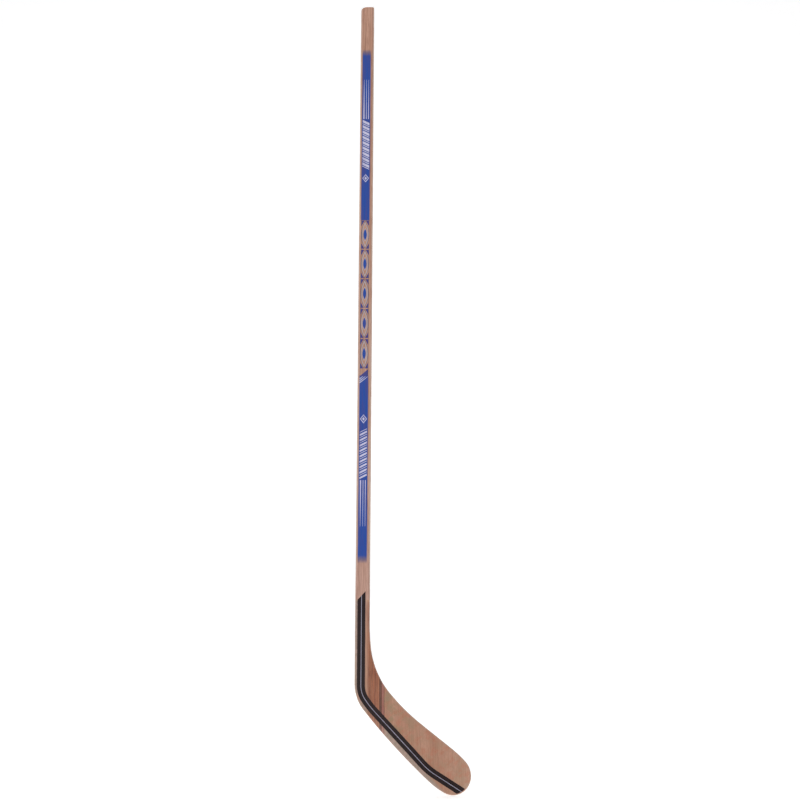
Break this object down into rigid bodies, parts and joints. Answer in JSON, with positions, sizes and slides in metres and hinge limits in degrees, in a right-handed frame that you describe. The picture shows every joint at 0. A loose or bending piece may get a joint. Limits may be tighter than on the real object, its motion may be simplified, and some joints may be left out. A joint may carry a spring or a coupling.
{
  "type": "ice hockey stick",
  "caption": "Wooden ice hockey stick: laminated shaft with rounded edges, heel block, curved cloth-covered blade and printed bands.",
  "frame": {"origin": "on the shaft's centre line, in the flat of its butt end", "axes": "+Z along the shaft, out of the butt end, so the shaft hangs down to the blade; +X from the heel towards the toe; -Y is the side that the hollow face of the blade looks to"},
  "size_m": [0.2286, 0.0351, 1.6947],
  "materials": {
    "shaft_wood": "satin",
    "core_wood": "satin",
    "block_wood": "satin",
    "dark_wood": "satin",
    "pale_wood": "satin",
    "blade_wood": "satin",
    "resin_cloth": "gloss",
    "print_blue": "gloss",
    "print_black": "gloss",
    "print_grey": "gloss",
    "print_white": "gloss"
  },
  "bodies": {
    "root": {"shaft_core": "core_wood", "shaft_inner_ply_front": "shaft_wood", "shaft_inner_ply_back": "shaft_wood", "shaft_outer_ply_front": "shaft_wood", "shaft_outer_ply_back": "shaft_wood", "heel_block": "block_wood", "heel_strip_dark": "dark_wood", "heel_strip_light": "pale_wood", "blade_core": "blade_wood", "blade_cloth_front": "resin_cloth", "blade_cloth_back": "resin_cloth", "stripes_black_front": "print_black", "stripe_grey_front": "print_grey", "stripes_black_back": "print_black", "stripe_grey_back": "print_grey", "shaft_print_front": "print_blue", "shaft_print_back": "print_blue"}
  },
  "joints": []
}
